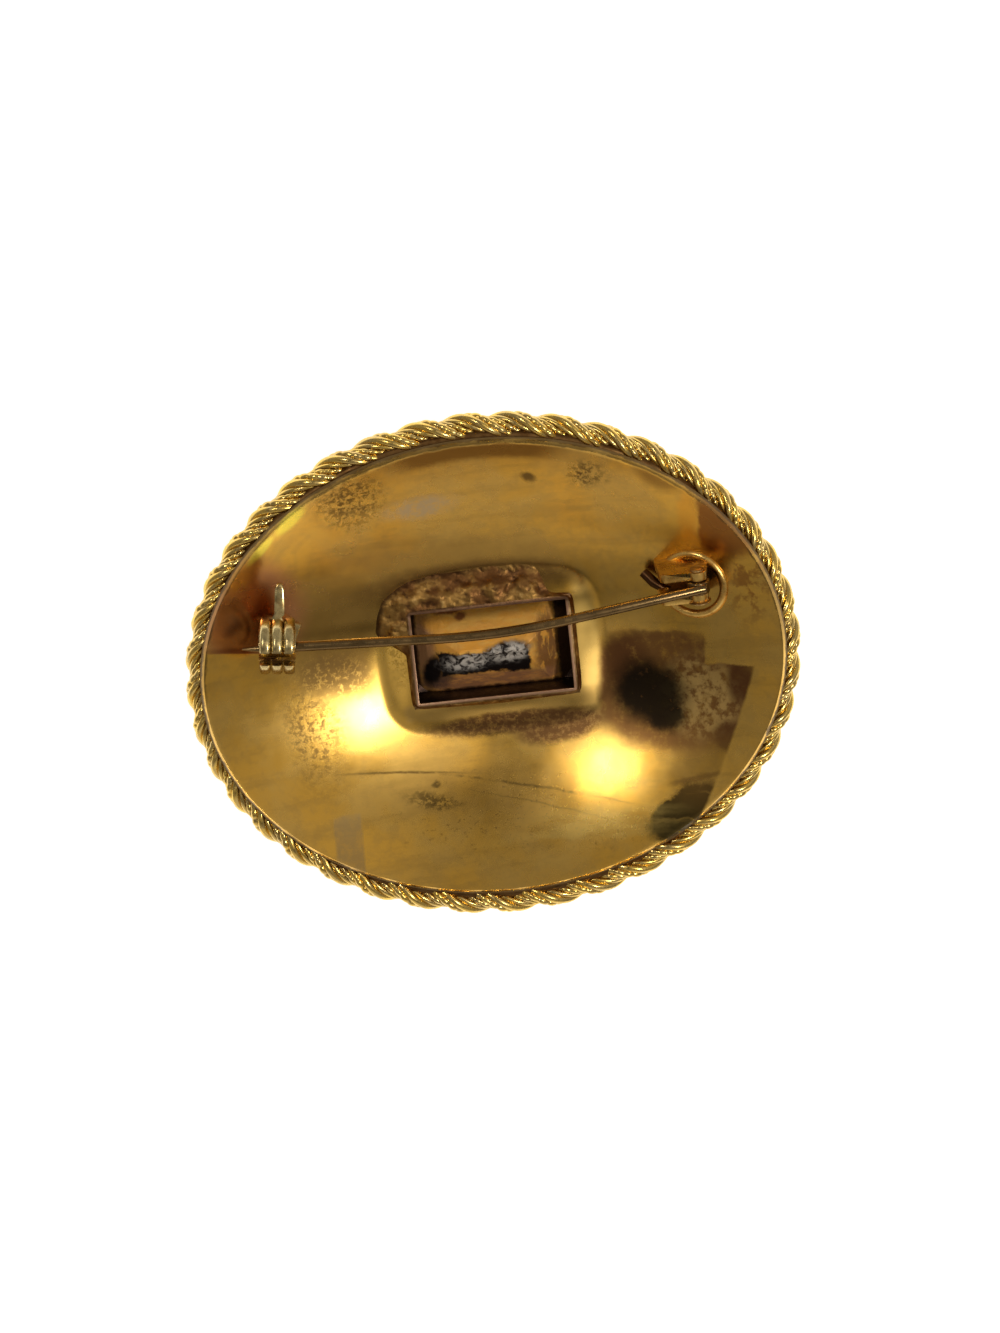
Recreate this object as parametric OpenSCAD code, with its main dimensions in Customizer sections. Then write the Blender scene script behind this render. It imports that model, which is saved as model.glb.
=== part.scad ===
// Oval gemstone brooch, lying face down with its back up.
// X runs along the long axis, Y along the short one and +Z points to the wearer's side.
// The origin is on the surface under the middle: the cut stone's flat table rests on it.

/* [Plate] */
// Half the length of the dished plate, to the outside of its lip
plate_a = 26.75; // [24:0.25:29]
// Half the width of the dished plate, to the outside of its lip
plate_b = 21.3; // [19:0.1:23]
// Depth of the dish, from the lip down to its middle
bowl_depth = 8.0; // [7:0.1:9]
// Thickness of the plate
plate_t = 0.7; // [0.5:0.05:0.9]

/* [Raised seat around the window] */
// Length of the raised seat
seat_l = 19.2; // [18.6:0.1:21]
// Width of the raised seat
seat_w = 13.6; // [13:0.1:15]
// Corner radius of the raised seat
seat_r = 2.5; // [1.5:0.1:4]
// Height of the seat over the lowest point of the dish
seat_rise = 1.7; // [1.4:0.1:2]

/* [Rope border] */
// Half the length of the brooch over the rope
rope_a = 28.0; // [27.5:0.1:30]
// Half the width of the brooch over the rope
rope_b = 23.45; // [23:0.05:25]
// Diameter of the twisted rope
rope_d = 2.6; // [2.2:0.1:2.6]
// Diameter of each of its two strands
strand_d = 1.44; // [1.2:0.02:1.6]
// Full turns of the twist round the border
rope_turns = 20; // [16:2:24]

/* [Stone] */
// Length of the stone at its girdle
stone_l = 16.0; // [15.5:0.1:16.4]
// Width of the stone at its girdle
stone_w = 10.5; // [10:0.1:10.8]
// Height from the table to the girdle
crown_h = 1.7; // [1.4:0.1:2]
// Thickness of the girdle
girdle_h = 0.4; // [0.3:0.05:0.6]
// Depth of the foiled back, from the girdle to the keel
pavilion_h = 4.0; // [3.6:0.1:4.2]

/* [Setting] */
// Length of the open window in the back
window_l = 14.2; // [13.5:0.1:14.4]
// Width of the open window in the back
window_w = 8.4; // [8:0.1:8.8]
// Wall of the window's collar
collar_t = 0.5; // [0.4:0.05:0.6]
// Wall of the box that holds the stone
box_t = 0.75; // [0.6:0.05:0.9]

/* [Pin and hinge] */
// Place of the hinge's rivet along the brooch
pivot_x = 19.1; // [18:0.1:19.5]
// Place of the pin across the brooch, where it crosses the rivet
pivot_y = 5.3; // [4.5:0.1:6]
// Diameter of the pin's wire
pin_d = 0.84; // [0.7:0.02:0.9]
// Reach of the pin's point beyond the catch
pin_reach = 3.2; // [2.5:0.1:4]
// Width of the pin's root, between the ears
root_w = 1.2; // [1:0.1:1.6]
// Depth of the rivet under the pin's wire
root_drop = 0.95; // [0.9:0.05:1.2]
// Diameter of the rivet's shank
rivet_d = 0.8; // [0.6:0.05:0.9]
// Diameter of the hinge's round foot
foot_d = 6.8; // [6:0.1:7.4]
// Reach of the ears from the rivet towards the middle of the brooch
ear_reach = 3.4; // [2.5:0.1:3.8]

/* [Catch] */
// Place of the catch along the brooch
catch_x = -19.2; // [-19.8:0.1:-18.4]
// Place of the catch across the brooch
catch_y = 4.25; // [3.5:0.05:5]
// Outer diameter of the catch's rings
ring_d = 5.2; // [4.8:0.1:5.4]
// Thickness of each of the catch's three rings
ring_t = 1.02; // [0.9:0.02:1.1]
// Length of the lever beyond the ring
lever_l = 3.2; // [2.4:0.1:3.6]
// Turn of the catch from the brooch's long axis
catch_turn = 6.2; // [3:0.1:8]

/* [Hidden] */
$fn = 96;

gold = [0.80, 0.62, 0.24];
pale_gold = [0.78, 0.66, 0.38];
wire_brass = [0.48, 0.38, 0.22];
amber_glass = [0.72, 0.42, 0.10];

gap = 0.05;
over = 1;

// The stack of heights, from the surface up
girdle_z = crown_h + girdle_h;
keel_z = girdle_z + pavilion_h;
window_z = keel_z + 0.6;
collar_proud = 0.2;
seat_z = window_z - collar_proud;
dish_z = seat_z - seat_rise;
front_z = dish_z - plate_t;

// The dish is a ball cap, pressed narrower across the brooch
narrowing = plate_b / plate_a;
edge_r = plate_a - plate_t / 2;
ball_r = (edge_r * edge_r + bowl_depth * bowl_depth) / (2 * bowl_depth);
ball_z = dish_z - plate_t / 2 + ball_r;
edge_angle = asin(edge_r / ball_r);
lip_z = dish_z + bowl_depth;

// Height of the dish's upper face at a place
function dish_at(x, y) = ball_z - sqrt(pow(ball_r - plate_t / 2, 2) - x * x - pow(y / narrowing, 2));

// Slopes of the dish along X and along Y at a place
function slope_x(x, y) = x / (ball_z - dish_at(x, y));
function slope_y(x, y) = y / narrowing / narrowing / (ball_z - dish_at(x, y));

// A rectangle with its corners cut at 45 degrees
function cut_outline(l, w, c) = [
    [l / 2, w / 2 - c], [l / 2 - c, w / 2], [c - l / 2, w / 2], [-l / 2, w / 2 - c],
    [-l / 2, c - w / 2], [c - l / 2, -w / 2], [l / 2 - c, -w / 2], [l / 2, c - w / 2]
];

// Flat-faced solid through a stack of cut outlines, from the top one down.
// A level is [length, width, corner cut, height].
module cut_stack(levels) {
    last = len(levels) - 1;
    points = [for (v = levels, p = cut_outline(v[0], v[1], v[2])) [p[0], p[1], v[3]]];
    sides = [for (i = [0 : last - 1], j = [0 : 7]) let (k = (j + 1) % 8)
        [8 * i + k, 8 * (i + 1) + k, 8 * (i + 1) + j, 8 * i + j]];
    polyhedron(points, concat(sides, [[for (j = [7 : -1 : 0]) j]], [[for (j = [0 : 7]) 8 * last + j]]));
}

// Rounded rectangle of exact arcs
module rounded(l, w, r) {
    square([l - 2 * r, w], center = true);
    square([l, w - 2 * r], center = true);
    for (sx = [-1, 1], sy = [-1, 1])
        translate([sx * (l / 2 - r), sy * (w / 2 - r)]) circle(r);
}

// A whole ball of the dish's shape. It trims what stands in the dish.
module dish_ball(r) translate([0, 0, ball_z]) scale([1, narrowing, 1]) sphere(r, $fn = 360);

// The room over the dish, down to a small gap from its upper face
module dish_room() dish_ball(ball_r - plate_t / 2 - gap);

// Half section of the dish: a stretch of ball shell that ends in a rounded lip
module dish_section() {
    difference() {
        intersection() {
            circle(ball_r + plate_t / 2);
            polygon([[0, 0], [0, -2 * ball_r], [2 * ball_r * sin(edge_angle), -2 * ball_r * cos(edge_angle)]]);
        }
        circle(ball_r - plate_t / 2);
    }
    rotate(edge_angle - 90) translate([ball_r, 0]) circle(plate_t / 2);
}

module dome() color(gold) difference() {
    union() {
        translate([0, 0, ball_z]) scale([1, narrowing, 1]) rotate_extrude() dish_section();
        intersection() {
            translate([0, 0, front_z]) linear_extrude(seat_z - front_z) rounded(seat_l, seat_w, seat_r);
            dish_ball(ball_r);
        }
    }
    // The seat is hollow from the front, as a pressed seat is
    translate([0, 0, front_z - over]) linear_extrude(seat_z - plate_t - front_z + over)
        rounded(seat_l - 2 * plate_t, seat_w - 2 * plate_t, seat_r - plate_t);
    // The window is cut through for the collar
    translate([0, 0, front_z]) linear_extrude(seat_z - front_z + over)
        square([window_l + 2 * collar_t + 2 * gap, window_w + 2 * collar_t + 2 * gap], center = true);
}

// The rope's centre line hangs against the plate, lower at the ends of the long axis
rope_end_z = lip_z - 2.2;
rope_side_z = lip_z - 1.57;
rope_steps = 16 * rope_turns;
strand_off = (rope_d - strand_d) / 2;
waist_angle = acos(-2 * strand_off / strand_d);

function rope_line(t) = [
    (rope_a - rope_d / 2) * cos(t),
    (rope_b - rope_d / 2) * sin(t),
    rope_end_z * cos(t) * cos(t) + rope_side_z * sin(t) * sin(t)
];

// Outline of the two strands side by side: six points round each, and the two waist points
arc_points = 6;
function strand_point(side, j) = let (a = waist_angle * (2 * (j + 1) / (arc_points + 1) - 1))
    side * [strand_off + strand_d / 2 * cos(a), strand_d / 2 * sin(a)];
waist = strand_d / 2 * sin(waist_angle);
rope_outline = concat(
    [for (j = [0 : arc_points - 1]) strand_point(1, j)], [[0, waist]],
    [for (j = [0 : arc_points - 1]) strand_point(-1, j)], [[0, -waist]]);

// One point of the rope: u lies across the centre line and level, and the other way is up
function rope_point(i, q) = let (
        t = 360 * i / rope_steps,
        turn = -360 * rope_turns * i / rope_steps,
        c = rope_line(t),
        out = [(rope_b - rope_d / 2) * cos(t), (rope_a - rope_d / 2) * sin(t)],
        u = out / norm(out),
        across = q[0] * cos(turn) - q[1] * sin(turn),
        up = q[0] * sin(turn) + q[1] * cos(turn))
    [c[0] + u[0] * across, c[1] + u[1] * across, c[2] + up];

module rope_border() color(gold) {
    n = len(rope_outline);
    points = [for (i = [0 : rope_steps - 1], q = rope_outline) rope_point(i, q)];
    faces = [for (i = [0 : rope_steps - 1], j = [0 : n - 1])
        let (a = i * n, b = ((i + 1) % rope_steps) * n, k = (j + 1) % n)
        each [[a + j, a + k, b + k], [a + j, b + k, b + j]]];
    polyhedron(points, faces);
}

// Levels of the cut stone, from the keel down to the table
stone_cut = 2.2;
stone_levels = [
    [6.0, 0.5, 0.2, keel_z],
    [10.6, 5.1, 1.1, girdle_z + 0.56 * pavilion_h],
    [13.9, 8.1, 1.7, girdle_z + 0.23 * pavilion_h],
    [stone_l, stone_w, stone_cut, girdle_z],
    [stone_l, stone_w, stone_cut, crown_h],
    [stone_l - 1.7, stone_w - 1.7, stone_cut - 0.3, 0.5 * crown_h],
    [stone_l - 4.6, stone_w - 4.6, stone_cut - 0.8, 0]
];

module stone() color(amber_glass) cut_stack(stone_levels);

// The stone's bed: a little larger than the girdle, and open to the window above and the crown below
bed = 2 * gap;
bed_top = 0.3;
bed_top_cut = 1.6;
bed_foot = 1.3;
bed_foot_cut = stone_cut - 0.2;
bed_levels = [
    [window_l + bed_top, window_w + bed_top, bed_top_cut, girdle_z + 0.25 * pavilion_h],
    [stone_l + bed, stone_w + bed, stone_cut, girdle_z + gap],
    [stone_l + bed, stone_w + bed, stone_cut, crown_h - gap],
    [stone_l - bed_foot, stone_w - bed_foot, bed_foot_cut, 0.45 * crown_h]
];

box_l = stone_l + 2 * box_t;
box_w = stone_w + 2 * box_t;
box_cut = stone_cut + 0.4;
box_low_z = 0.72 * crown_h;
window_floor = 0.5;

module setting() color(gold) difference() {
    union() {
        translate([0, 0, box_low_z]) linear_extrude(seat_z - plate_t - gap - box_low_z)
            polygon(cut_outline(box_l, box_w, box_cut));
        translate([0, 0, girdle_z]) linear_extrude(window_z - girdle_z)
            square([window_l + 2 * collar_t, window_w + 2 * collar_t], center = true);
    }
    cut_stack(bed_levels);
    translate([0, 0, girdle_z + window_floor]) linear_extrude(window_z)
        square([window_l, window_w], center = true);
}

// The catch stands clear of the sloping dish, and its rings lie across the pin
ring_gap = 0.07;
catch_l = 3 * ring_t + 2 * ring_gap;
ring_lift = 0.35;
catch_z = dish_at(catch_x, catch_y) - slope_x(catch_x, catch_y) * catch_l / 2 + ring_d / 2 + ring_lift;
bore_d = 3.12;
sleeve_d = 3.0;
sleeve_bore_d = 2.1;
mouth_w = 1.26;
leg_w = 3.0;
leg_h = 5;
pad_w = 3.6;
pad_t = 0.45;
rotor_room = 0.08;
lever_t = 0.75;
lever_root = 0.4;
lever_neck = 0.15;
lever_aside = 0.2;

// The pin lies a little off the rings' middle, and runs straight from its bend to its point
pin_off_y = -0.22;
pin_off_z = -0.1;
pin_in_catch = [catch_x, catch_y + pin_off_y, catch_z + pin_off_z];
bend_x = 1.0;
pin_run_angle = 2.92;
bend_at = [bend_x, pin_in_catch[1] - tan(pin_run_angle) * (bend_x - catch_x)];
root_angle = atan2(pivot_y - bend_at[1], pivot_x - bend_at[0]);
bend_angle = root_angle + pin_run_angle;
bend_half = 6;
bend_r = bend_half / tan(bend_angle / 2);
root_run = norm([pivot_x - bend_at[0], pivot_y - bend_at[1]]) - bend_half;
free_run = norm([catch_x - bend_at[0], pin_in_catch[1] - bend_at[1]]) - bend_half + pin_reach;
point_l = 2.6;
pin_z = pin_in_catch[2];

// The rivet lies along the dish, so the pin leaves the catch up and a little to -Y
rivet_tilt = atan(slope_y(pivot_x, pivot_y));
root_d = 2.1;
root_end = 0.75;
rivet_play = 0.05;
rivet_fit = 0.03;
head_d = 1.3;
head_h = 0.25;
ear_t = 0.8;
ear_gap = 0.12;
lug_r = 0.75;
ear_low = 0.55;
ear_r = 0.5;
ear_foot_l = 0.4;
ears_w = root_w + 2 * ear_gap + 2 * ear_t;
foot_t = 0.45;
foot_sunk = 2;
foot_x = pivot_x - 0.35;
foot_y = pivot_y - 0.25;
tuck = 0.3;
bend_extra = 0.02;
tip_d = 0.16;

// The pivot is straight under the pin's wire, as the tilted rivet sees it
module at_pivot() translate([pivot_x, pivot_y, pin_z]) rotate([rivet_tilt, 0, 0])
    translate([0, 0, -root_drop]) children();

// A round bar along the rivet's axis, centred on the pivot
module across_pivot(d, l) at_pivot() rotate([90, 0, 0]) cylinder(d = d, h = l, center = true);

// The bent stretch is a hair thicker than the straight ones, which end inside it
module pin_wire() translate([pivot_x, pivot_y, pin_z]) rotate([0, 0, root_angle]) {
    translate([root_end, 0, 0]) rotate([0, -90, 0]) cylinder(d = pin_d, h = root_end + root_run + tuck);
    translate([-root_run, bend_r, 0]) {
        rotate([0, 0, 270 - bend_angle]) rotate_extrude(angle = bend_angle, $fn = 360)
            translate([bend_r, 0]) circle(d = pin_d + bend_extra, $fn = 48);
        rotate([0, 0, -bend_angle]) translate([0, -bend_r, 0]) rotate([0, -90, 0]) {
            translate([0, 0, -tuck]) cylinder(d = pin_d, h = free_run - point_l + tuck);
            translate([0, 0, free_run - point_l]) cylinder(d1 = pin_d, d2 = tip_d, h = point_l);
        }
    }
}

module pin_stem() color(wire_brass) difference() {
    union() {
        across_pivot(root_d, root_w);
        pin_wire();
    }
    across_pivot(rivet_d + 2 * rivet_play, root_w + over);
}

// One ear, seen along the rivet: a round lug, and a cheek just lower than the pin's wire
module ear_outline() {
    top = root_drop - ear_low;
    circle(lug_r);
    translate([ear_r - ear_reach, top - ear_r]) circle(ear_r);
    polygon([[0, top], [ear_r - ear_reach, top], [-ear_reach, top - ear_r],
        [-ear_reach - ear_foot_l, -leg_h], [lug_r + ear_foot_l, -leg_h], [lug_r, 0]]);
}

module hinge() color(pale_gold) difference() {
    intersection() {
        union() {
            at_pivot() for (side = [-1, 1])
                translate([0, side * (root_w / 2 + ear_gap + ear_t / 2), 0]) rotate([90, 0, 0])
                    linear_extrude(ear_t, center = true) ear_outline();
            translate([foot_x, foot_y, dish_at(foot_x, foot_y)])
                rotate([rivet_tilt, -atan(slope_x(foot_x, foot_y) * cos(rivet_tilt)), 0])
                    translate([0, 0, foot_t - foot_sunk]) cylinder(d = foot_d, h = foot_sunk);
        }
        dish_room();
    }
    across_pivot(rivet_d + 2 * rivet_fit, 2 * ears_w);
}

module hinge_rivet() color(pale_gold) {
    across_pivot(rivet_d, ears_w + 2 * head_h);
    at_pivot() for (side = [-1, 1])
        translate([0, side * (ears_w / 2 + gap + head_h / 2), 0]) rotate([90, 0, 0])
            cylinder(d = head_d, h = head_h, center = true);
}

module at_catch() translate([catch_x, catch_y, catch_z]) rotate([0, 0, -catch_turn]) children();

// A plate of thickness t across the catch, centred at x, with its outline drawn in Y and Z
module catch_plate(x, t) translate([x, 0, 0]) rotate([90, 0, 90]) linear_extrude(t, center = true) children();

// The mouth of a ring: a slot from the pin's place, along the way by which the pin leaves
module mouth_slot() translate([pin_off_y, pin_off_z]) rotate(rivet_tilt)
    translate([-mouth_w / 2, 0]) square([mouth_w, ring_d]);

module open_ring(outer_d, inner_d) difference() {
    circle(d = outer_d);
    circle(d = inner_d);
    mouth_slot();
}

module catch() color(pale_gold) {
    difference() {
        intersection() {
            union() {
                at_catch() for (side = [-1, 1]) catch_plate(side * (ring_t + ring_gap), ring_t)
                    difference() {
                        union() {
                            circle(d = ring_d);
                            translate([-leg_w / 2, -leg_h]) square([leg_w, leg_h]);
                        }
                        circle(d = bore_d);
                        mouth_slot();
                    }
                translate([catch_x, catch_y, dish_at(catch_x, catch_y)])
                    rotate([atan(slope_y(catch_x, catch_y)), -atan(slope_x(catch_x, catch_y)), -catch_turn])
                        translate([-catch_l / 2, -pad_w / 2, -over]) cube([catch_l, pad_w, over + pad_t]);
            }
            dish_room();
        }
        // Room for the turning ring between the two fixed ones
        at_catch() catch_plate(0, ring_t + 2 * ring_gap) circle(d = ring_d + 2 * rotor_room);
    }
}

module catch_rotor() color(pale_gold) at_catch() {
    catch_plate(0, ring_t) open_ring(ring_d, sleeve_bore_d);
    catch_plate(0, catch_l + 2 * gap) open_ring(sleeve_d, sleeve_bore_d);
    catch_plate(0, ring_t) translate([ring_d / 2 - lever_root, -lever_t / 2])
        square([lever_root + 2 * lever_neck, lever_t]);
    catch_plate(lever_aside, ring_t) translate([ring_d / 2 + lever_neck, -lever_t / 2])
        square([lever_l - lever_neck, lever_t]);
}

dome();
rope_border();
setting();
stone();
hinge();
hinge_rivet();
pin_stem();
catch();
catch_rotor();
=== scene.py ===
import functools
import math

import bmesh
import bpy
from mathutils import Matrix, Vector, noise


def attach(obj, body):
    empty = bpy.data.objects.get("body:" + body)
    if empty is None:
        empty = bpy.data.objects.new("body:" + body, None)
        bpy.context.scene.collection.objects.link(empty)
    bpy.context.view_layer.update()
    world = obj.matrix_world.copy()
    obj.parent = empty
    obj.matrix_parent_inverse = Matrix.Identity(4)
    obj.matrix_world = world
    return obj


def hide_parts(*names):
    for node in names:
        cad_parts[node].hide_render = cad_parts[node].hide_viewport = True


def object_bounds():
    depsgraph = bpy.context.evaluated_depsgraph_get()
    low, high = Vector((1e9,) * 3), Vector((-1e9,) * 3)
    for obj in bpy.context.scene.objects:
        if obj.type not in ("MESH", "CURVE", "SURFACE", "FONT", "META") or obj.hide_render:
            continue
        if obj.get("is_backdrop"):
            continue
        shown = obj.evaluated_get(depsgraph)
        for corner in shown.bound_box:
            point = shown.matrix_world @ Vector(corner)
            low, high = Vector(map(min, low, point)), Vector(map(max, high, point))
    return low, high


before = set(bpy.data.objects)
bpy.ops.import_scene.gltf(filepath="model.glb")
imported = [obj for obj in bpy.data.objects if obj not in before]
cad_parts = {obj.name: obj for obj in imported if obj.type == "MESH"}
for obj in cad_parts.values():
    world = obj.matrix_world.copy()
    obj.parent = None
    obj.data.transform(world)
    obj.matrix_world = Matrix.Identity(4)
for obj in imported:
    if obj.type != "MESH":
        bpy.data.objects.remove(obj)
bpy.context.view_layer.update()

# Lengths are in millimetres here, and MM makes them metres where a mesh is written.
MM = 0.001

# The pressed plate: a ball cap, pressed narrower across the brooch, with a raised seat in its middle
PLATE_T = 0.7
BALL_R = 47.56
BALL_Z = 52.01
NARROWING = 0.79626
EDGE_R = 26.4
SEAT_L, SEAT_W, SEAT_R, SEAT_Z = 19.0, 13.4, 2.6, 6.5

# The window and its collar, which stands on the setting's box
WINDOW_L, WINDOW_W, WINDOW_Z = 14.2, 8.4, 6.7
COLLAR_T, COLLAR_LOW_Z = 0.5, 3.0

# The box with its cut corners, the well cut down through it under the window, and the room in it for
# the stone's widest part, the girdle. The room narrows up to its roof and down to its mouth, each
# given by height, length and width.
BOX_L, BOX_W, BOX_CUT, BOX_LOW_Z, BOX_TOP_Z = 17.5, 12.0, 2.6, 1.224, 5.75
WELL_LOW_Z, WELL_TOP_Z = 2.6, 8.6
ROOM_L, ROOM_W, ROOM_CUT, ROOM_LOW_Z, ROOM_TOP_Z = 16.1, 10.6, 2.2, 1.65, 2.15
ROOM_ROOF, ROOM_MOUTH = (3.1, 14.5, 8.7), (0.765, 14.7, 9.2)
GIRDLE_Z = 2.1

# How far the solder round the collar reaches where it is widest, and its least width
SOLDER_L, SOLDER_W, SOLDER_LEAST = 21.4, 16.0, 0.35

# The rope: its centre line's half axes and heights, its turns, and the beads in each turn.
# The seam lies beside it, so far inwards from its centre line and up.
ROPE_A, ROPE_B = 26.7, 22.15
ROPE_END_Z, ROPE_SIDE_Z = 10.6, 11.23
ROPE_TURNS = 20
CORE_R = 0.55
BEADS, BEAD_WAIST = 11.3, 0.7
SEAM_R, SEAM_INWARDS, SEAM_UP, SEAM_KNOTS = 0.62, 0.82, 0.36, 240

# The findings. The pin's wire crosses the rivet at WIRE_AT, and the rivet lies ROOT_DROP under it.
# Values with four decimals or more follow from the plate's and the pin's shape. The spring's tail
# is a list of places with the wire's radius at each, and the rivet's head one of heights and shares
# of its radius.
WIRE_AT = Vector((19.1, 5.3, 12.7799))
RIVET_TILT = math.radians(11.0872)
ROOT_ANGLE = math.radians(7.24298)
BEND_ANGLE = math.radians(10.163)
BEND_R, BEND_STEPS = 67.4749, 24
ROOT_RUN, FREE_RUN, POINT_L = 12.2456, 17.4263, 2.6
PIN_R = 0.45
ROOT_DROP, ROOT_END, ROOT_DISC_R, ROOT_BORE_R, ROOT_W = 0.95, 0.75, 1.05, 0.45, 1.2
EAR_REACH, EAR_TOP, EAR_DEEP, EAR_ROUND = 3.4, 0.4, 2.6, 0.5
EAR_T, EAR_AT, LUG_R = 0.8, 1.12, 0.75
FOOT_AT = Vector((18.75, 5.05, 9.1498))
FOOT_R, FOOT_T, FOOT_DEEP, ROLL_R, ROLL_STEPS = 3.4, 0.45, 0.5, 0.42, 10
RIVET_R, RIVET_HEAD_R, RIVET_CROWN = 0.4, 0.65, ((0.12, 1.0), (0.08, 0.78), (0.04, 0.6))
TAIL = ((17.4, 4.7, 10.2), (16.8, 4.75, 9.8), (16.1, 4.9, 9.4), (15.2, 5.5, 9.0), (14.35, 6.45, 8.6))
TAIL_RADII = (0.30, 0.33, 0.38, 0.5, 0.46)
CATCH = Vector((-19.2, 4.25, 12.8799))
CATCH_TURN = math.radians(6.2)
PIN_IN_CATCH = Vector((0, -0.22, -0.1))
RING_R, BORE_R, RING_T, RING_STEP, RING_ROUND = 2.595, 1.56, 1.02, 1.09, 0.34
SLEEVE_R, SLEEVE_BORE_R, SLEEVE_L = 1.5, 1.05, 3.3
MOUTH_W = 1.26
LEVER_L, LEVER_ASIDE = 3.2, 0.2
LEG_W, LEG_L, PAD = 2.9, 3.0, (3.2, 3.6, 0.9)

AT_PIVOT = (Matrix.Translation(WIRE_AT * MM) @ Matrix.Rotation(RIVET_TILT, 4, "X")
            @ Matrix.Translation((0, 0, -ROOT_DROP * MM)))
AT_CATCH = Matrix.Translation(CATCH * MM) @ Matrix.Rotation(-CATCH_TURN, 4, "Z")


def smooth_noise(*place):
    """An even noise about 0 that is the same each time."""
    return noise.noise(Vector(place))


def rise(value, low, high):
    """Runs smoothly from 0 to 1 between two values."""
    t = min(max((value - low) / (high - low), 0), 1)
    return t * t * (3 - 2 * t)


def dish_mid(x, y):
    """Height of the dish's middle surface."""
    return BALL_Z - math.sqrt(BALL_R ** 2 - x * x - (y / NARROWING) ** 2)


def dish_top(x, y):
    """Height of the dish's upper face."""
    return BALL_Z - math.sqrt((BALL_R - PLATE_T / 2) ** 2 - x * x - (y / NARROWING) ** 2)


def dish_tilt(x, y):
    """The turn that lays a level thing on the dish."""
    drop = BALL_Z - dish_top(x, y)
    up = Vector((-x / drop, -y / NARROWING ** 2 / drop, 1))
    return up.to_track_quat("Z", "Y").to_matrix().to_4x4()


# Small helpers for modelling


def none_selected():
    bpy.ops.object.select_all(action="DESELECT")


def alone(piece):
    """Selects one piece and nothing else."""
    none_selected()
    piece.select_set(True)
    bpy.context.view_layer.objects.active = piece


def named(name):
    """Names the piece at hand."""
    piece = bpy.context.object
    piece.name = piece.data.name = name
    return piece


def take(piece, faces=None, edges=None):
    """Opens a piece with only those faces or edges selected that pass the test.

    A face is tested by its centre and normal, an edge by its two ends, all in millimetres.
    """
    alone(piece)
    bpy.ops.object.mode_set(mode="EDIT")
    bpy.ops.mesh.select_mode(type="FACE" if faces else "EDGE")
    bpy.ops.mesh.select_all(action="DESELECT")
    work = bmesh.from_edit_mesh(piece.data)
    if faces:
        for face in work.faces:
            face.select_set(bool(faces(face.calc_center_median() / MM, face.normal)))
    if edges:
        for edge in work.edges:
            edge.select_set(bool(edges(edge.verts[0].co / MM, edge.verts[1].co / MM)))
    work.select_flush_mode()
    bmesh.update_edit_mesh(piece.data)


def take_all(piece):
    """Opens a piece with all of it selected."""
    take(piece)
    bpy.ops.mesh.select_all(action="SELECT")


def shut():
    """Ends what take() began."""
    bpy.ops.object.mode_set(mode="OBJECT")


def clean(piece, gap=0.0005):
    """Merges what coincides and turns all faces outwards."""
    take_all(piece)
    bpy.ops.mesh.remove_doubles(threshold=gap * MM)
    bpy.ops.mesh.normals_make_consistent(inside=False)
    shut()


def soften(piece, width, segments=2, angle=40):
    """Rounds the sharp edges."""
    alone(piece)
    bevel = piece.modifiers.new("edges", "BEVEL")
    bevel.width = width * MM
    bevel.segments = segments
    bevel.limit_method = "ANGLE"
    bevel.angle_limit = math.radians(angle)
    bevel.use_clamp_overlap = True
    bpy.ops.object.modifier_apply(modifier=bevel.name)


def thicken(piece, thickness):
    """Makes a wall of a skin, half of it on each side."""
    alone(piece)
    wall = piece.modifiers.new("wall", "SOLIDIFY")
    wall.thickness = thickness * MM
    wall.offset = 0
    wall.use_even_offset = True
    bpy.ops.object.modifier_apply(modifier=wall.name)


def settle(piece, matrix=None):
    """Writes a piece's place into its mesh."""
    if matrix is not None:
        piece.matrix_world = matrix @ piece.matrix_world
        bpy.context.view_layer.update()
    alone(piece)
    bpy.ops.object.transform_apply(location=True, rotation=True, scale=True)
    return piece


def joined(name, pieces):
    """Makes one piece of several."""
    none_selected()
    for piece in pieces:
        piece.select_set(True)
    bpy.context.view_layer.objects.active = pieces[0]
    bpy.ops.object.join()
    return named(name)


def dressed(piece, material, body="brooch", angle=40, stands_for=()):
    """Gives a finished piece its material, its smoothness and its place in the frame."""
    alone(piece)
    bpy.ops.object.shade_smooth_by_angle(angle=math.radians(angle))
    piece.data.materials.clear()
    piece.data.materials.append(material)
    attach(piece, body)
    if stands_for:
        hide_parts(*stands_for)
    return piece


def wrapped(name, around, across, form):
    """A flat grid laid on form(turn, step), both from 0 to 1, which gives a place in millimetres."""
    none_selected()
    bpy.ops.mesh.primitive_grid_add(x_subdivisions=around, y_subdivisions=across, size=2)
    piece = named(name)
    for point in piece.data.vertices:
        point.co = Vector(form((point.co.x + 1) / 2, (point.co.y + 1) / 2)) * MM
    clean(piece)
    return piece


def block(name, size, at):
    """A block of that size about a place."""
    none_selected()
    bpy.ops.mesh.primitive_cube_add(size=1, location=Vector(at) * MM)
    piece = named(name)
    piece.scale = Vector(size) * MM
    return settle(piece)


def grow(value, centre):
    """Resizes what is selected about a centre in millimetres."""
    bpy.ops.transform.resize(value=value, center_override=Vector(centre) * MM)


def pull(way):
    """Extrudes the selected faces by a move in millimetres."""
    bpy.ops.mesh.extrude_region_move(TRANSFORM_OT_translate={"value": Vector(way) * MM})


def strip(name, low, high, near, far):
    """A flat profile: it runs from low to high along X, and from near to far off that axis."""
    none_selected()
    bpy.ops.mesh.primitive_plane_add(size=1, location=((low + high) / 2 * MM, (near + far) / 2 * MM, 0))
    piece = named(name)
    piece.scale = Vector((high - low, far - near, 1)) * MM
    return settle(piece)


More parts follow.
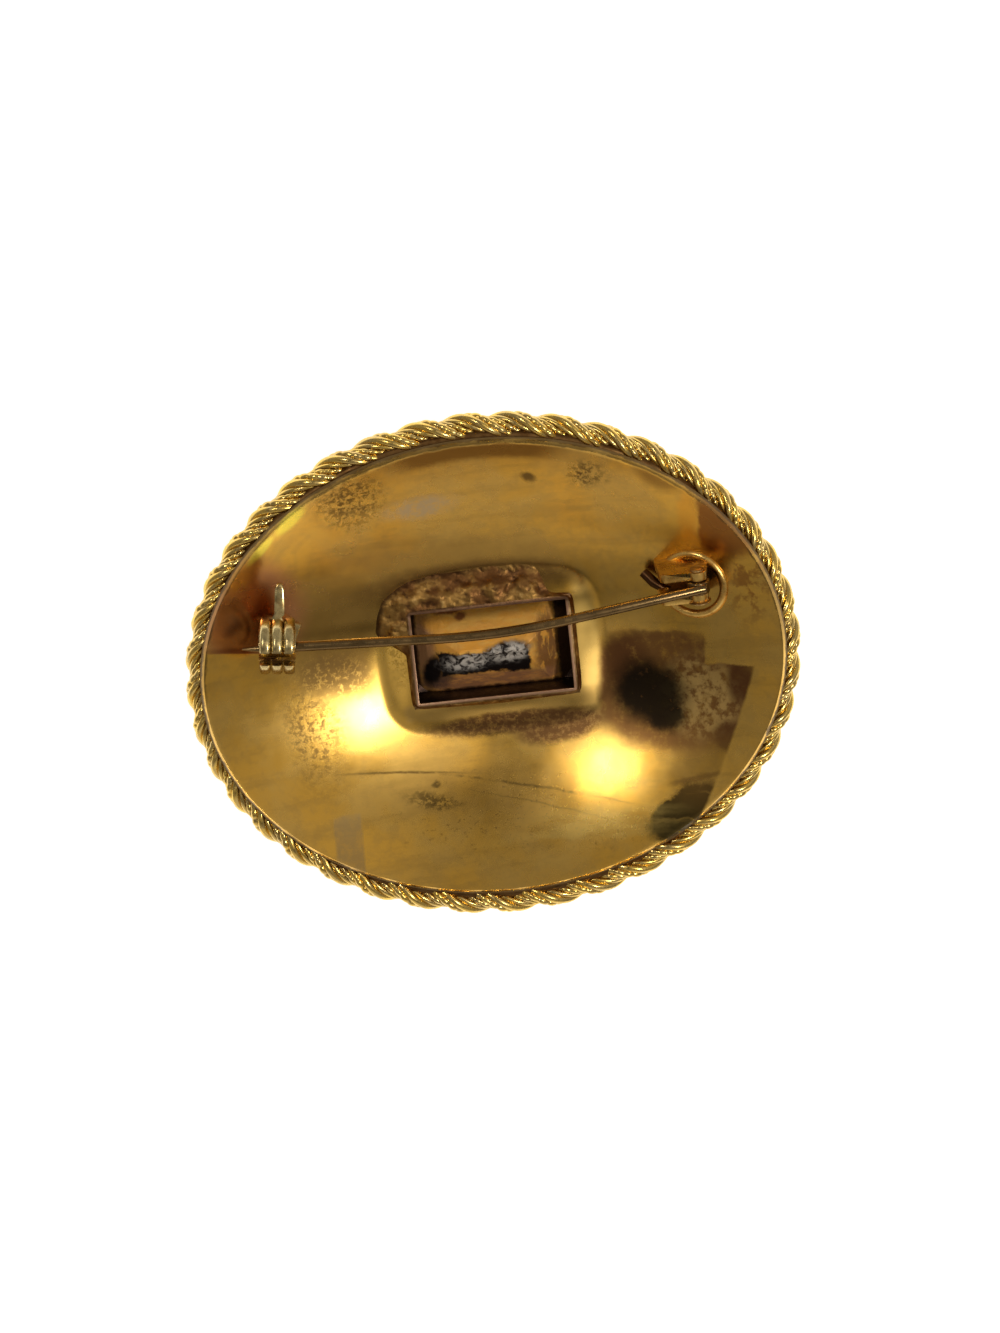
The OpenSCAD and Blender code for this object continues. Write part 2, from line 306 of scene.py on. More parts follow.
def turned(piece, steps):
    """Spins the outline of a flat profile round the X axis."""
    take_all(piece)
    bpy.ops.mesh.delete(type="ONLY_FACE")
    bpy.ops.mesh.select_all(action="SELECT")
    bpy.ops.mesh.spin(steps=steps, angle=-math.radians(360), center=(0, 0, 0), axis=(1, 0, 0))
    shut()
    clean(piece)


def boolean(piece, tool, work):
    """Unites a piece with a tool, or cuts the tool out of it."""
    alone(piece)
    change = piece.modifiers.new("work", "BOOLEAN")
    change.operation = work
    change.solver = "EXACT"
    change.object = tool
    bpy.ops.object.modifier_apply(modifier=change.name)
    bpy.data.objects.remove(tool)


def stand_on_dish(piece, below, sunk=0.05):
    """Brings the points of a piece that lie below a height down to the dish under them."""
    for point in piece.data.vertices:
        if point.co.z < below * MM:
            point.co.z = (dish_top(point.co.x / MM, point.co.y / MM) - sunk) * MM


def drawn_wire(name, points, radii, sides, closed=False):
    """A wire drawn along points, with a radius at each, made a mesh."""
    none_selected()
    bpy.ops.curve.primitive_bezier_curve_add()
    piece = named(name)
    path = piece.data
    path.splines.clear()
    line = path.splines.new("POLY")
    line.points.add(len(points) - 1)
    for knot, place, radius in zip(line.points, points, radii):
        knot.co = (place[0] * MM, place[1] * MM, place[2] * MM, 1)
        knot.radius = radius
    line.use_cyclic_u = closed
    path.dimensions = "3D"
    path.bevel_depth = MM
    path.bevel_resolution = max(sides // 2 - 2, 0)
    path.use_fill_caps = not closed
    alone(piece)
    bpy.ops.object.convert(target="MESH")
    piece = named(name)
    clean(piece)
    return piece


# Finishes


class Nodes:
    """The nodes of a material or of the sky."""

    def __init__(self, tree):
        self.tree = tree

    def add(self, kind, out=0, setup=None, **inputs):
        """Adds a node. An input is called by its name, or by its number as in i0."""
        node = self.tree.nodes.new(kind)
        for key, value in (setup or {}).items():
            setattr(node, key, value)
        for key, value in inputs.items():
            numbered = key[0] == "i" and key[1:].isdigit()
            entry = node.inputs[int(key[1:]) if numbered else key.replace("_", " ")]
            if isinstance(value, bpy.types.NodeSocket):
                self.tree.links.new(value, entry)
            else:
                entry.default_value = (*value, 1) if entry.type == "RGBA" else value
        return node.outputs[out]

    def math(self, work, a, b=0.0):
        return self.add("ShaderNodeMath", setup={"operation": work}, i0=a, i1=b)

    def vector(self, work, a, b, out=0):
        return self.add("ShaderNodeVectorMath", out, setup={"operation": work}, i0=a, i1=b)

    def between(self, value, low, high, to_low=0.0, to_high=1.0):
        """Runs smoothly from to_low to to_high as the value runs from low to high."""
        return self.add("ShaderNodeMapRange", setup={"interpolation_type": "SMOOTHSTEP"},
                        Value=value, From_Min=low, From_Max=high, To_Min=to_low, To_Max=to_high)


class Finish(Nodes):
    """A material whose nodes work in millimetres on the piece's own coordinates.

    Its colour is built in layers: lay() puts one more over what is there.
    """

    def __init__(self, name, **surface):
        self.material = bpy.data.materials.new(name)
        self.material.use_nodes = True
        super().__init__(self.material.node_tree)
        self.shader = self.tree.nodes["Principled BSDF"]
        self.colour = None
        for key, value in surface.items():
            self.shader.inputs[key.replace("_", " ")].default_value = value
        spot = self.tree.nodes.new("ShaderNodeTexCoord")
        self.place = self.add("ShaderNodeMapping", Vector=spot.outputs["Object"], Scale=(1 / MM,) * 3)

    def set(self, **sockets):
        for key, value in sockets.items():
            self.tree.links.new(value, self.shader.inputs[key.replace("_", " ")])

    def length(self, at):
        return self.add("ShaderNodeVectorMath", 1, setup={"operation": "LENGTH"}, i0=at)

    def along(self, axis, at=None):
        """How far a place lies along X, Y or Z."""
        return self.add("ShaderNodeSeparateXYZ", "XYZ".index(axis), Vector=at or self.place)

    def stretched(self, at, scale, turn=0.0):
        """The place, drawn out, so that a noise there lies in streaks."""
        return self.add("ShaderNodeMapping", Vector=at, Rotation=(0, 0, turn), Scale=scale)

    def on_line(self, x, y, turn, at=None):
        """The place, measured along and across a line of the plan."""
        moved = self.vector("SUBTRACT", at or self.place, (x, y, 0))
        return self.add("ShaderNodeMapping", Vector=moved, Rotation=(0, 0, -math.radians(turn)))

    def noise(self, scale, detail=2.0, rough=0.5, at=None, warp=0.0):
        return self.add("ShaderNodeTexNoise", Vector=at or self.place, Scale=scale, Detail=detail,
                        Roughness=rough, Distortion=warp)

    def shifted(self, amount, scale):
        """The place, pushed about by a noise, so that a patch gets an uneven edge."""
        cloud = self.add("ShaderNodeTexNoise", 1, Vector=self.place, Scale=scale, Detail=7.0, Roughness=0.66)
        push = self.vector("SUBTRACT", cloud, (0.5, 0.5, 0.5))
        push = self.add("ShaderNodeVectorMath", setup={"operation": "SCALE"}, i0=push, Scale=2 * amount)
        return self.vector("ADD", self.place, push)

    def patch(self, x, y, rx, ry, soft=0.5, turn=0.0, at=None):
        """1 inside an oval patch of the plan, 0 outside, with a soft edge."""
        sized = self.vector("MULTIPLY", self.on_line(x, y, turn, at), (1 / rx, 1 / ry, 0))
        return self.between(self.length(sized), 1 + soft, 1 - soft)

    def streak(self, x, y, to_x, to_y, half_wide, soft=0.5, at=None):
        """1 along a line of the plan, 0 away from it."""
        half_long = math.hypot(to_x - x, to_y - y) / 2
        turn = math.degrees(math.atan2(to_y - y, to_x - x))
        return self.patch((x + to_x) / 2, (y + to_y) / 2, half_long, half_wide, soft, turn, at)

    def panel(self, low_x, high_x, low_y, high_y, soft, at=None):
        """1 inside a rectangle of the plan, 0 outside."""
        x, y = self.along("X", at), self.along("Y", at)
        return self.both(
            self.between(x, low_x - soft, low_x + soft), self.between(x, high_x + soft, high_x - soft),
            self.between(y, low_y - soft, low_y + soft), self.between(y, high_y + soft, high_y - soft))

    def both(self, *parts):
        """Where all the parts are."""
        return functools.reduce(lambda whole, part: self.math("MULTIPLY", whole, part), parts)

    def either(self, *parts):
        """Where at least one of the parts is."""
        return functools.reduce(lambda whole, part: self.math("MAXIMUM", whole, part), parts)

    def less(self, part):
        """Where the part isn't."""
        return self.math("SUBTRACT", 1.0, part)

    def mix(self, part, under, over):
        return self.add("ShaderNodeMix", 2, setup={"data_type": "RGBA"}, i0=part, i6=under, i7=over)

    def lay(self, colour, part, share=1.0):
        """Lays a colour over the others where the part is, as thick as the share says."""
        self.colour = self.mix(self.both(part, share) if share < 1 else part, self.colour, colour)

    def bump(self, height, depth, strength=1.0, on=None):
        """A relief of that depth in millimetres, laid on another one where on is given."""
        inputs = {"Height": height, "Distance": depth * MM, "Strength": strength}
        if on is not None:
            inputs["Normal"] = on
        return self.add("ShaderNodeBump", **inputs)


# The plate's finish. Its parts share the places and noises that polished_plate() sets up.


def gild(f):
    """Thin bright gold in two tones, brushed and a little hazed."""
    f.colour = f.mix(f.between(f.clouds, 0.36, 0.64), (0.92, 0.52, 0.085), (0.78, 0.48, 0.115))
    f.lay((0.58, 0.36, 0.10), f.between(f.blots, 0.45, 0.62), 0.32)
    f.lay((0.52, 0.31, 0.075), f.between(f.brushed, 0.50, 0.66), 0.35)
    haze = f.both(f.patch(-5.2, 14.6, 3.0, 1.0, 0.6, 4, f.near), f.between(f.blots, 0.36, 0.58, 0.3, 1.0))
    f.lay((0.60, 0.47, 0.30), haze, 0.7)
    return haze


def dark_reflections_plate(f):
    """Painted dark reflections in brown, left of the window, above it and over the lower middle."""
    f.lay((0.45, 0.26, 0.065), f.either(
        f.both(f.patch(-13.5, 4.0, 5.5, 5.5, 0.55, 10, f.loose), 0.85),
        f.both(f.patch(-2.0, 8.6, 13.0, 2.4, 0.5, -3, f.loose), 0.6),
        f.both(f.patch(0.0, -12.6, 8.0, 2.6, 0.6, -4, f.loose), 0.45),
        f.both(f.patch(20.5, 1.0, 4.5, 2.5, 0.6, 0, f.loose), 0.12),
    ))


def reflection_right_of_window(f):
    """Painted dark reflection right of the window: brown, black at its heart, ending along a sharp line."""
    # The colours laid here paint a dark reflection: brown, with tan flecks, dark lines, a black heart and a
    # dark foot.
    inside = f.patch(-43.92, 20.9, 71.4, 71.4, 0.0025, 0, f.shifted(0.15, 0.8))
    upper_edge = f.on_line(16.0, 0.55, -3, f.near)
    under = f.along("Y", upper_edge)
    step = f.both(f.between(f.along("X", upper_edge), 3.1, 3.5), f.between(under, -3.0, -2.7))
    under_hinge = f.both(f.between(under, 0.2, -0.2), f.less(step))
    whole = f.both(f.patch(15.8, -4.8, 8.0, 5.7, 0.16, -8, f.near), inside, under_hinge)
    dark_reflection = f.both(whole, f.between(f.blots, 0.28, 0.52, 0.65, 1.0))
    f.lay((0.22, 0.10, 0.035), dark_reflection, 0.92)
    tan = f.both(f.patch(18.5, -5.6, 3.4, 3.5, 0.35, -20, f.near), f.between(f.flecks, 0.38, 0.58))
    f.lay((0.72, 0.47, 0.16), f.both(tan, inside, under_hinge), 0.85)
    dark_reflection_lines = f.either(
        f.both(f.patch(20.9, -9.1, 1.7, 1.35, 0.3, 10, f.near), inside),
        f.both(f.streak(22.5, -2.0, 21.9, -6.2, 1.2, 0.35, f.near), inside, under_hinge),
        f.both(f.streak(14.8, -13.2, 19.9, -12.1, 0.26, 0.6, f.near), inside, 0.7),
        f.both(f.patch(12.0, -2.4, 1.9, 2.8, 0.6, 0, f.near), f.between(f.blots, 0.3, 0.5, 0.4, 1.0)),
    )
    f.lay((0.13, 0.05, 0.02), dark_reflection_lines, 0.75)
    heart = f.either(f.patch(13.9, -5.1, 3.3, 2.9, 0.4, -20, f.loose),
                     f.patch(15.0, -7.2, 1.8, 1.6, 0.4, 0, f.loose))
    f.lay((0.016, 0.012, 0.008), f.both(heart, f.between(f.flecks, 0.34, 0.42, 0.75, 1.0)), 0.96)

    # The painted dark reflection's foot near the rope, and a paler painted shade between the two
    foot = f.both(f.patch(16.0, -15.4, 3.9, 1.75, 0.15, 28, f.loose),
                  f.between(f.brushed, 0.30, 0.40, 0.75, 1.0), inside)
    f.lay((0.020, 0.017, 0.007), foot, 0.96)
    f.lay((0.28, 0.15, 0.04), f.both(f.patch(18.0, -11.6, 3.6, 3.0, 0.6, 60, f.loose), inside), 0.45)
    return dark_reflection, foot


def reflections_by_catch_and_hinge(f):
    """Painted red-brown dark reflections behind the catch and above the hinge, a painted highlight streak
    beside the hinge, and a brown stain right of it.
    """
    # Painted dark reflection in red-brown behind the catch, with a sharp lower edge and darker streaks in it
    above = f.between(f.along("Y", f.on_line(-21.5, 3.0, -14)), -0.05, 0.12)
    catch_reflection = f.both(f.patch(-21.3, 6.6, 4.6, 5.4, 0.28, 0, f.near), above)
    deep = f.either(f.streak(-21.4, 3.0, -19.6, 9.2, 0.9, 0.7, f.near),
                    f.streak(-26.0, 4.3, -19.0, 2.7, 0.35, 0.6))
    f.lay((0.64, 0.28, 0.115), catch_reflection, 0.92)
    f.lay((0.75, 0.34, 0.045), f.patch(-21.8, 10.8, 1.7, 1.0, 0.6, 40, f.near), 0.7)
    f.lay((0.20, 0.05, 0.018), f.both(deep, catch_reflection), 0.7)
    # Painted dark reflection above the hinge, and a painted orange highlight streak at its left
    over_hinge = f.both(f.patch(21.9, 11.0, 3.3, 3.3, 0.25, 30, f.near),
                        f.between(f.along("X", f.near), 19.5, 19.9))
    f.lay((0.95, 0.46, 0.055), f.streak(18.5, 9.6, 19.1, 14.8, 0.95, 0.5, f.near), 0.8)
    f.lay((0.33, 0.12, 0.026), over_hinge, 0.9)
    beside = f.both(f.patch(23.6, 5.6, 1.7, 3.4, 0.6, 0, f.loose), f.between(f.blots, 0.46, 0.58))
    f.lay((0.42, 0.17, 0.035), beside, 0.75)


def shade_lip(f):
    """Painted shade: a brown band under the upper lip."""
    high = f.either(f.patch(0.4, 21.5, 8.4, 4.2, 0.25, 0),
                    f.both(f.patch(17.0, 17.0, 2.8, 2.2, 0.3, -40), 0.9))
    band = f.both(f.between(f.from_middle, 23.6, 24.7), f.between(f.from_middle, 26.1, 25.9), high)
    f.lay((0.34, 0.17, 0.035), band, 0.9)


def speckle_plate(f):
    """Fine brown specks, grit beside the seat and painted dark reflection in the upper left; a grey smudge
    and a paler streak.
    """

    def specks(low, high, *oval, at=f.loose):
        return f.both(f.patch(*oval, at), f.between(f.grains, low, high))

    # Brown specks: grit, and in the upper left painted dark reflection
    specks_and_dark_reflection = f.either(
        specks(0.44, 0.58, -11.3, 16.4, 2.8, 2.6, 0.6, 30),
        specks(0.42, 0.58, -17.0, -5.3, 2.3, 4.9, 0.6, 12),
        specks(0.37, 0.50, -14.6, -0.4, 3.8, 2.1, 0.6, 0),
        specks(0.47, 0.60, -9.2, 0.4, 1.6, 2.6, 0.6, 0),
        specks(0.34, 0.50, 1.2, -6.8, 7.2, 0.95, 0.4, 1, at=f.near),
        specks(0.28, 0.44, 5.4, -7.6, 3.9, 1.35, 0.4, 8, at=f.near),
        specks(0.54, 0.66, -1.0, -14.6, 8.0, 3.2, 0.8, 0),
        specks(0.53, 0.62, 10.0, -16.6, 4.0, 1.2, 0.8, 10),
        specks(0.30, 0.42, 4.9, 16.7, 0.75, 0.45, 0.5, -35, at=f.near),
        specks(0.44, 0.58, 10.0, 16.6, 1.6, 1.3, 0.7, 0),
    )
    f.lay((0.15, 0.085, 0.027), specks_and_dark_reflection, 0.86)
    smudge = f.both(f.panel(-16.0, -13.5, -19.6, -13.0, 0.15, f.shifted(0.2, 1.2)),
                    f.between(f.blots, 0.3, 0.6, 0.6, 1.0))
    f.lay((0.36, 0.27, 0.15), smudge, 0.5)
    streaks = f.noise(0.5, 3.0, 0.5, at=f.stretched(f.near, (0.15, 1.4, 0), -0.1))
    pale = f.both(f.patch(6.5, -16.6, 7.0, 1.6, 0.7, 6, f.loose), f.between(streaks, 0.45, 0.62))
    f.lay((1.0, 0.70, 0.20), pale, 0.5)
    return specks_and_dark_reflection, smudge


def scratch_plate(f):
    """Long fine scratches, with two small blots on the way."""
    wavy = f.shifted(0.3, 0.5)
    scratches = f.either(
        f.streak(-14.0, -9.6, -4.6, -10.9, 0.10, 0.8, f.shifted(0.12, 0.7)),
        f.patch(-6.3, -11.6, 0.35, 0.28, 0.5, 0, f.near),
        f.both(f.streak(-9.0, -12.4, -4.5, -13.6, 0.5, 0.8, f.loose), f.between(f.grains, 0.42, 0.52)),
        f.both(f.streak(-5.2, -11.0, 10.6, -14.6, 0.10, 0.8, wavy), f.between(f.blots, 0.42, 0.56, 0.2, 0.8)),
        f.both(f.streak(-2.0, -12.9, 8.0, -15.6, 0.07, 0.8, wavy), 0.5),
    )
    f.lay((0.13, 0.08, 0.025), f.both(scratches, f.between(f.grains, 0.34, 0.50, 0.35, 1.0)), 0.8)


def rim_dirt_shade_and_gleam(f):
    """Dirt on the rim against the rope, painted shade inside the rim along its upper half and on the plate's
    outer face behind the rope, and a painted gleam inside.
    """
    upper = f.between(f.along("Y"), -2.0, 2.0)
    ball = f.add("ShaderNodeMapping", Vector=f.place, Location=(0, 0, -BALL_Z), Scale=(1, 1 / NARROWING, 1))
    behind = f.both(f.between(f.length(ball), BALL_R, BALL_R + 0.2),
                    f.between(f.from_middle, EDGE_R - 4, EDGE_R - 2.4))
    # Dirt along the rope all round; painted shade just inside the rim on the upper half and on the outer face
    # behind the rope
    rim = f.either(
        f.between(f.from_middle, EDGE_R - 0.08, EDGE_R + 0.08),
        f.both(f.between(f.from_middle, EDGE_R - 0.42, EDGE_R - 0.22), upper, 0.75),
        behind,
    )
    f.lay((0.14, 0.085, 0.03), rim, 0.9)
    # A painted highlight: bright yellow streaks in the upper left
    painted_gleam = f.either(f.streak(-20.9, 11.9, -18.5, 14.2, 0.40, 0.4),
                     f.streak(-18.2, 14.3, -15.5, 16.5, 0.55, 0.4))
    f.lay((1.0, 0.80, 0.11), painted_gleam, 0.95)
    return behind


def seat_light_and_residue(f):
    """Painted light on the seat: bright gold over its right and left shoulders and along its lower band;
    brown residue on its upper shoulder, and painted shade with brown grains on its lower flank.
    """
    # Painted highlights: bright gold over the right and left shoulders and along the lower band
    f.lay((0.78, 0.52, 0.15), f.patch(8.5, 0.0, 1.3, 6.6, 0.3, 0, f.near), 0.85)
    f.lay((1.0, 0.62, 0.13), f.patch(-9.2, -1.6, 1.7, 4.6, 0.5, 0, f.near), 0.8)
    f.lay((0.95, 0.60, 0.17), f.panel(-8.6, 9.0, -6.0, -4.4, 0.25, f.near), 0.75)
    top = f.both(f.patch(-1.5, 6.5, 9.6, 2.0, 0.25, 0, f.near), f.between(f.blots, 0.3, 0.5, 0.6, 1.0))
    f.lay((0.24, 0.12, 0.035), top, 0.75)
    # Painted shade on the lower flank, with brown grains over it
    below = f.either(f.patch(1.2, -7.0, 7.4, 1.0, 0.35, 1, f.near),
                     f.patch(5.6, -7.7, 3.7, 1.45, 0.3, 8, f.near))
    f.lay((0.42, 0.22, 0.075), below, 0.7)
    f.lay((0.17, 0.08, 0.03), f.both(below, f.between(f.grains, 0.42, 0.54)), 0.8)


def polished_plate():
    """Bright gilding over brass, hazed, smudged and browned with age, with painted reflections, highlights
    and shade laid over it.
    """
    f = Finish("dish_gilding")
    f.near = f.shifted(0.5, 0.55)
    f.loose = f.shifted(1.1, 0.45)
    f.clouds = f.noise(0.16, 4.0, 0.55)
    f.grains = f.noise(1.9, 7.0, 0.78)
    f.blots = f.noise(0.75, 6.0, 0.7)
    f.flecks = f.noise(1.1, 5.0, 0.66)
    f.brushed = f.noise(0.6, 4.0, 0.6, at=f.stretched(f.near, (0.10, 1.0, 0)))
    f.from_middle = f.length(f.vector("MULTIPLY", f.near, (1, 1 / NARROWING, 0)))

    haze = gild(f)
    dark_reflections_plate(f)
    dark_reflection, foot = reflection_right_of_window(f)
    reflections_by_catch_and_hinge(f)
    shade_lip(f)
    specks_and_dark_reflection, smudge = speckle_plate(f)
    scratch_plate(f)
    behind = rim_dirt_shade_and_gleam(f)
    seat_light_and_residue(f)
    f.set(Base_Color=f.colour)

    matt = f.either(f.both(dark_reflection, 0.7), f.both(specks_and_dark_reflection, 0.6), f.both(haze, 0.5), f.both(foot, 0.5),
                    f.both(smudge, 0.6))
    rough = f.add("ShaderNodeMix", Factor=matt, A=f.between(f.clouds, 0.35, 0.68, 0.22, 0.30), B=0.42)
    f.set(Roughness=f.add("ShaderNodeMix", Factor=behind, A=rough, B=0.8))
    f.set(Metallic=f.less(f.both(behind, 0.92)))
    swell = f.bump(f.noise(0.22, 2.0, 0.45), 0.035)
    f.set(Normal=f.bump(f.both(specks_and_dark_reflection, f.grains), 0.006, 0.4, on=swell))
    return f.material


def simple_gold(name, colour, rough):
    """Gold plate, dirty in places."""
    f = Finish(name, Metallic=1.0)
    dirty = tuple(c * share for c, share in zip(colour, (0.62, 0.52, 0.42)))
    f.set(Base_Color=f.mix(f.between(f.noise(0.9, 4.0, 0.6), 0.42, 0.72), colour, dirty))
    f.set(Roughness=f.between(f.noise(1.3, 3.0), 0.3, 0.7, rough * 0.8, rough * 1.3))
    return f.material


def hinge_metal():
    """Gold plate on the hinge, with painted shade in dark brown low down between its ears."""
    f = Finish("finding_gilding", Metallic=1.0)
    f.colour = f.mix(f.between(f.noise(0.9, 4.0, 0.6), 0.42, 0.72), (0.98, 0.62, 0.18), (0.61, 0.32, 0.075))
    # Painted shade: dark brown low down inside the foot and between the ears
    height = f.math("SUBTRACT", f.along("Z"), f.noise(0.8, 3.0))
    low = f.both(f.patch(FOOT_AT.x, FOOT_AT.y, 2.55, 2.45, 0.1), f.between(height, 11.2, 10.2))
    f.lay((0.15, 0.065, 0.02), low, 0.9)
    f.set(Base_Color=f.colour, Roughness=f.between(f.noise(1.3, 3.0), 0.3, 0.7, 0.24, 0.36))
    return f.material


def stone_glass():
    """Clear amber glass with faint swirls and fine scratches on its faces."""
    f = Finish("stone_glass", Transmission_Weight=1.0, IOR=1.6)
    swirls = f.noise(0.35, 3.0, 0.5, warp=1.2)
    colour = f.mix(f.between(swirls, 0.35, 0.65), (0.96, 0.60, 0.20), (0.90, 0.50, 0.13))
    hairs = f.noise(1.0, 4.0, 0.6, at=f.stretched(f.place, (0.3, 5.0, 1.0)))
    f.set(Base_Color=colour, Roughness=f.between(hairs, 0.52, 0.68, 0.03, 0.12))
    f.set(Normal=f.bump(hairs, 0.004, 0.5))
    return f.material


def worn_brass(name, colour, rough):
    """Smooth browned brass wire, a little uneven in tone."""
    f = Finish(name, Metallic=1.0)
    cloud = f.noise(0.35, 3.0, 0.5)
    f.set(Base_Color=f.mix(f.between(cloud, 0.35, 0.65), colour, tuple(c * 0.72 for c in colour)))
    f.set(Roughness=f.between(f.noise(1.1, 3.0), 0.3, 0.7, rough * 0.85, rough * 1.25))
    return f.material


def old_solder():
    """Lumpy brown solder with painted highlights on its lumps and a painted shadow along its outer edge,
    strongest on the left. The piece's map runs outwards in v.
    """
    f = Finish("old_solder", Metallic=1.0)
    outwards = f.along("Y", f.add("ShaderNodeUVMap", setup={"uv_map": "UVMap"}))
    lumps = f.noise(0.55, 2.0, 0.5)
    fine = f.noise(1.4, 3.0, 0.5)
    f.colour = f.mix(f.between(lumps, 0.38, 0.62), (0.16, 0.072, 0.024), (0.33, 0.185, 0.052))
    # Painted highlights on the lumps
    f.lay((0.68, 0.44, 0.16), f.both(f.between(fine, 0.54, 0.70), f.between(lumps, 0.46, 0.62)), 0.7)
    f.lay((0.09, 0.040, 0.018), f.between(fine, 0.42, 0.32), 0.6)
    # Painted shadow along the outer edge, stronger towards the left
    left = f.between(f.along("X"), 1.0, -3.0, 0.15, 1.0)
    edge = f.between(f.math("ADD", outwards, f.both(fine, 0.30)), 0.86, 1.02)
    f.lay((0.050, 0.022, 0.008), f.both(edge, left), 0.9)
    f.set(Base_Color=f.colour, Roughness=f.between(fine, 0.35, 0.65, 0.40, 0.60))
    f.set(Normal=f.bump(f.math("ADD", lumps, f.both(fine, 0.25)), 0.45))
    return f.material


def collar_metal():
    """A thin collar: mauve-brown along its inner edge, with painted shade on its upper side and near black
    inside the window.
    """
    f = Finish("collar_gilding", Metallic=0.9)
    reach = f.add("ShaderNodeVectorMath", setup={"operation": "ABSOLUTE"}, i0=f.place)
    from_edge = f.math("MAXIMUM", f.math("SUBTRACT", f.along("X", reach), WINDOW_L / 2),
                       f.math("SUBTRACT", f.along("Y", reach), WINDOW_W / 2))
    height = f.along("Z")
    grain = f.noise(2.2, 5.0, 0.6)
    worn = f.math("ADD", from_edge, f.both(f.math("SUBTRACT", grain, 0.5), 0.2))
    f.colour = f.mix(f.between(worn, 0.16, 0.30), (0.50, 0.29, 0.18), (0.24, 0.13, 0.045))
    f.lay((0.50, 0.34, 0.18), f.between(grain, 0.52, 0.66), 0.5)
    # Painted shade on the upper side
    f.lay((0.10, 0.045, 0.02), f.between(f.along("Y"), 3.9, 4.2), 0.75)
    # Painted shade: near black on the walls inside the window
    well = f.both(f.between(from_edge, 0.06, 0.02), f.between(height, WINDOW_Z - 0.08, WINDOW_Z - 0.3))
    f.lay((0.016, 0.008, 0.006), well, 0.97)
    f.lay((0.50, 0.30, 0.09), f.both(f.between(height, 5.0, 4.6), f.less(well)), 0.6)
    f.set(Base_Color=f.colour, Roughness=f.between(grain, 0.3, 0.7, 0.28, 0.45))
    f.set(Normal=f.bump(grain, 0.03))
    return f.material


def foil_finish():
    """Gold foil paint behind the stone: orange, streaked and flaking, worn through along the middle, with
    painted shade towards the window's sides.
    """
    f = Finish("foil_paint", Metallic=0.15, Roughness=0.42, Specular_IOR_Level=0.3)
    near = f.shifted(0.35, 0.9)
    loose = f.shifted(0.8, 0.8)
    blots = f.noise(0.9, 5.0, 0.6)
    fine = f.noise(1.5, 5.0, 0.62, warp=0.6)
    upright = f.noise(1.3, 4.0, 0.6, at=f.stretched(near, (1.6, 0.35, 1)))
    level = f.noise(1.0, 4.0, 0.6, at=f.stretched(near, (0.35, 1.6, 1)))
    f.colour = f.mix(f.between(blots, 0.38, 0.60), (1.0, 0.47, 0.07), (0.95, 0.46, 0.09))
    f.lay((1.0, 0.60, 0.15), f.between(level, 0.46, 0.62), 0.5)

    # Painted shade, partly over streaks: darker towards the window's right, lower and left sides, with a drip
    # at the upper left
    right = f.both(f.patch(5.1, -0.6, 1.2, 3.4, 0.35, 0, near), f.between(upright, 0.32, 0.52))
    f.lay((0.24, 0.10, 0.035), right, 0.88)
    low = f.patch(-0.6, -3.4, 6.4, 1.0, 0.4, 0, near)
    f.lay((0.62, 0.27, 0.11), low, 0.7)
    f.lay((0.28, 0.11, 0.075), f.both(low, f.between(level, 0.42, 0.56)), 0.6)
    f.lay((0.34, 0.17, 0.10), f.patch(-6.2, 0.2, 1.0, 3.4, 0.45, 0, near), 0.8)
    f.lay((0.075, 0.045, 0.04), f.patch(-5.2, -2.9, 1.7, 1.0, 0.6, 30, loose), 0.85)
    drip = f.either(f.patch(-2.6, 3.0, 0.55, 0.35, 0.5, 0, near),
                    f.streak(-5.2, 3.4, -2.2, 3.5, 0.22, 0.6, near))
    f.lay((0.17, 0.035, 0.015), drip, 0.85)
    f.lay((1.0, 0.46, 0.06), f.patch(-5.3, 2.4, 0.9, 0.5, 0.6, -20, near), 0.7)

    # The strip that is worn to black, with white left along its middle
    worn = f.either(
        f.panel(-5.0, 3.4, -2.5, 0.0, 0.15, f.shifted(0.7, 0.7)),
        f.patch(1.4, -0.1, 2.1, 0.75, 0.3, 4, near),
        f.patch(-5.6, -1.9, 0.85, 1.6, 0.3, -24, near),
    )
    f.lay((0.012, 0.008, 0.007), worn)
    white = f.either(f.patch(-2.3, -1.0, 2.1, 0.9, 0.5, 4, loose),
                     f.patch(1.5, -0.4, 1.8, 1.0, 0.5, 0, loose))
    f.lay((0.72, 0.66, 0.60), f.both(white, f.between(fine, 0.40, 0.58), worn))
    # Painted shade: near black round the edges, where the gap beside the stone lies deep
    x, y = f.along("X", near), f.along("Y", near)
    seen = f.both(f.between(x, -6.95, -6.6), f.between(x, 6.2, 5.8),
                  f.between(y, 4.1, 3.75), f.between(y, -4.2, -3.85))
    f.lay((0.03, 0.012, 0.008), f.less(seen), 0.96)
    f.set(Base_Color=f.colour)
    f.set(Normal=f.bump(f.math("ADD", blots, f.both(fine, 0.5)), 0.10))
    return f.material


def rope_gilding():
    """Bright gilding with brown dirt between the wires, where the points lie less far out."""
    f = Finish("rope_gilding", Metallic=1.0)
    reach = f.add("ShaderNodeAttribute", 2, setup={"attribute_name": "reach"})
    blots = f.noise(0.9, 4.0, 0.6)
    fine = f.noise(4.0, 3.0, 0.6)
    f.colour = f.mix(f.between(blots, 0.40, 0.62), (0.88, 0.59, 0.14), (0.70, 0.50, 0.18))
    f.lay((0.52, 0.34, 0.12), f.between(fine, 0.5, 0.7), 0.35)
    depth = f.math("ADD", reach, f.both(f.math("SUBTRACT", blots, 0.5), 0.30))
    f.lay((0.30, 0.18, 0.05), f.between(depth, 0.84, 0.58))
    f.set(Base_Color=f.colour, Roughness=f.between(fine, 0.3, 0.7, 0.18, 0.32))
    return f.material


